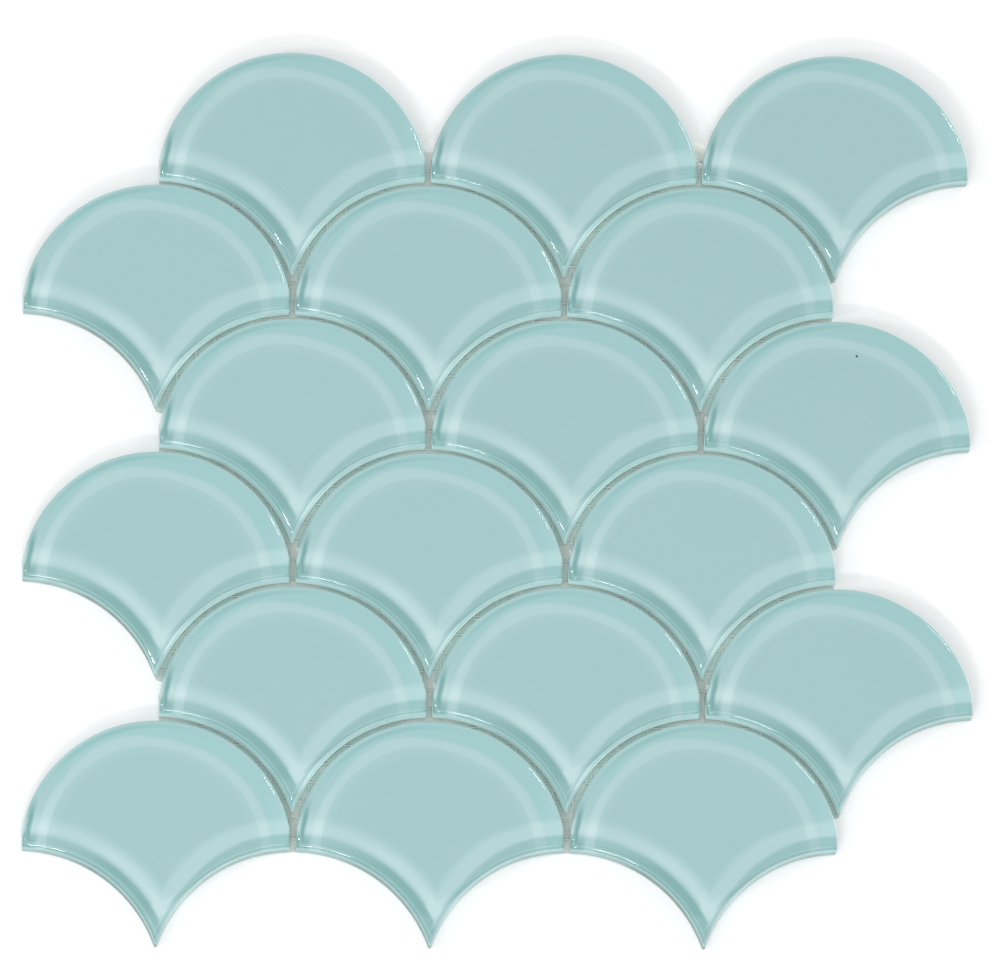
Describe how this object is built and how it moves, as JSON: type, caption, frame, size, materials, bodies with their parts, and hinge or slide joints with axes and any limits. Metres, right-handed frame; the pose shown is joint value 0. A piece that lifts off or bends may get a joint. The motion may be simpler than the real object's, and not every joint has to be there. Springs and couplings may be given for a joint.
{
  "type": "fish scale mosaic tile sheet",
  "caption": "Sheet of fan-shaped glass tiles in staggered rows with open grout joints, bonded by their backs to a woven net for laying on a wall or floor.",
  "frame": {"origin": "centre of the sheet's outline on the underside of the net", "axes": "+X along the rows of tiles, +Y from the pointed lower ends to the round tops, +Z from the net up through the glass"},
  "size_m": [0.3024, 0.2894, 0.0085],
  "materials": {
    "aqua_glass": "clear polished glass, opaque pale aqua from its coloured back",
    "net_yarn": "coated off-white glass-fibre yarn"
  },
  "bodies": {
    "root": {"scale_r1_c1": "aqua_glass", "scale_r1_c2": "aqua_glass", "scale_r1_c3": "aqua_glass", "scale_r2_c1": "aqua_glass", "scale_r2_c2": "aqua_glass", "scale_r2_c3": "aqua_glass", "scale_r3_c1": "aqua_glass", "scale_r3_c2": "aqua_glass", "scale_r3_c3": "aqua_glass", "scale_r4_c1": "aqua_glass", "scale_r4_c2": "aqua_glass", "scale_r4_c3": "aqua_glass", "scale_r5_c1": "aqua_glass", "scale_r5_c2": "aqua_glass", "scale_r5_c3": "aqua_glass", "scale_r6_c1": "aqua_glass", "scale_r6_c2": "aqua_glass", "scale_r6_c3": "aqua_glass", "mesh_warp": "net_yarn", "mesh_weft": "net_yarn"}
  },
  "joints": []
}
